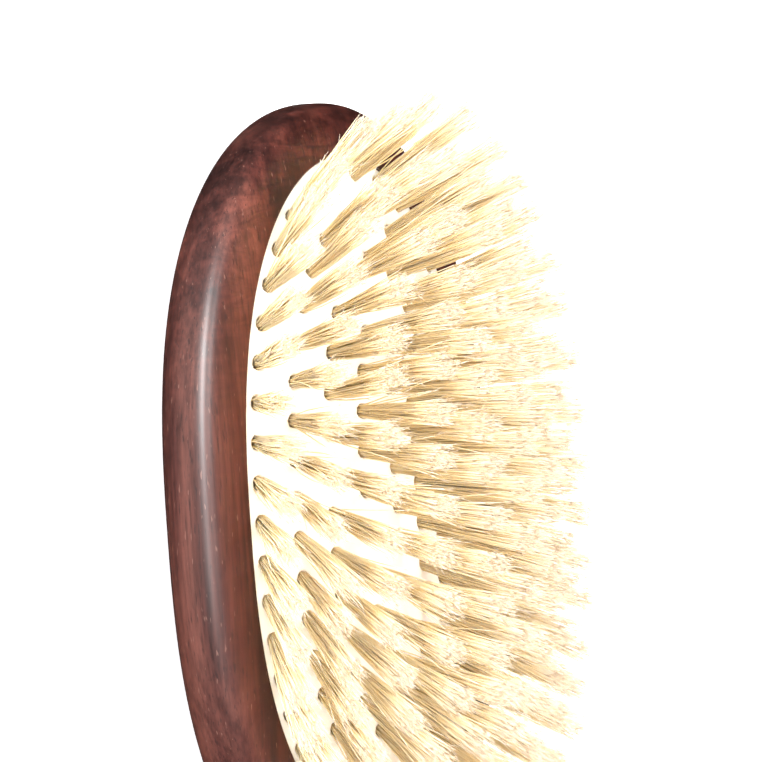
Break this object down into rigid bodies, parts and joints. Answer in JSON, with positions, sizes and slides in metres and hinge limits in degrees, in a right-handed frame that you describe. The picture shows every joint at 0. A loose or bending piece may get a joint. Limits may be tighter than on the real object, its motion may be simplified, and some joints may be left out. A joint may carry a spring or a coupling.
{
  "type": "oval cushion hair brush",
  "caption": "Hair brush with a one-piece lacquered wooden head and handle and natural bristle tufts in a domed rubber cushion that gives when pressed.",
  "frame": {"origin": "centre of the small flat on the back of the head that the brush rests on", "axes": "+Z from the back towards the bristles, +Y along the brush towards the tip of the head, +X across the head"},
  "size_m": [0.0782, 0.2376, 0.0428],
  "materials": {
    "wood": "gloss lacquer over reddish-brown figured hardwood",
    "rubber": "smooth cream-white natural rubber",
    "bristle": "pale cream natural bristle, paler and frayed at the tips"
  },
  "bodies": {
    "brush_body": {"wood_body": "wood", "rubber_cushion": "rubber"},
    "outer_ring": {"outer_tufts_1": "bristle", "outer_tufts_2": "bristle", "outer_tufts_3": "bristle", "outer_tufts_4": "bristle", "outer_tufts_5": "bristle", "outer_tufts_6": "bristle"},
    "second_ring": {"second_tufts_1": "bristle", "second_tufts_2": "bristle", "second_tufts_3": "bristle", "second_tufts_4": "bristle", "second_tufts_5": "bristle"},
    "third_ring": {"third_tufts_1": "bristle", "third_tufts_2": "bristle", "third_tufts_3": "bristle", "third_tufts_4": "bristle"},
    "inner_ring": {"inner_tufts_1": "bristle", "inner_tufts_2": "bristle", "inner_tufts_3": "bristle"},
    "crown_row": {"crown_tufts": "bristle"}
  },
  "joints": [
    {"name": "cushion_press", "type": "slide", "parent": "brush_body", "child": "crown_row", "axis": [0, 0, -1], "range_m": [0, 0.0032], "stiffness_N_per_m": 4000, "deforming": ["rubber_cushion"]},
    {"name": "outer_ring_press", "type": "slide", "parent": "brush_body", "child": "outer_ring", "axis": [0, 0, -1], "range_m": [0, 0.0004], "stiffness_N_per_m": 4000},
    {"name": "second_ring_press", "type": "slide", "parent": "brush_body", "child": "second_ring", "axis": [0, 0, -1], "range_m": [0, 0.00133], "stiffness_N_per_m": 4000},
    {"name": "third_ring_press", "type": "slide", "parent": "brush_body", "child": "third_ring", "axis": [0, 0, -1], "range_m": [0, 0.00214], "stiffness_N_per_m": 4000},
    {"name": "inner_ring_press", "type": "slide", "parent": "brush_body", "child": "inner_ring", "axis": [0, 0, -1], "range_m": [0, 0.0028], "stiffness_N_per_m": 4000}
  ],
  "couplings": [
    {"joint": "outer_ring_press", "follows": "cushion_press", "ratio": 0.1232},
    {"joint": "second_ring_press", "follows": "cushion_press", "ratio": 0.4139},
    {"joint": "third_ring_press", "follows": "cushion_press", "ratio": 0.6678},
    {"joint": "inner_ring_press", "follows": "cushion_press", "ratio": 0.8741}
  ]
}
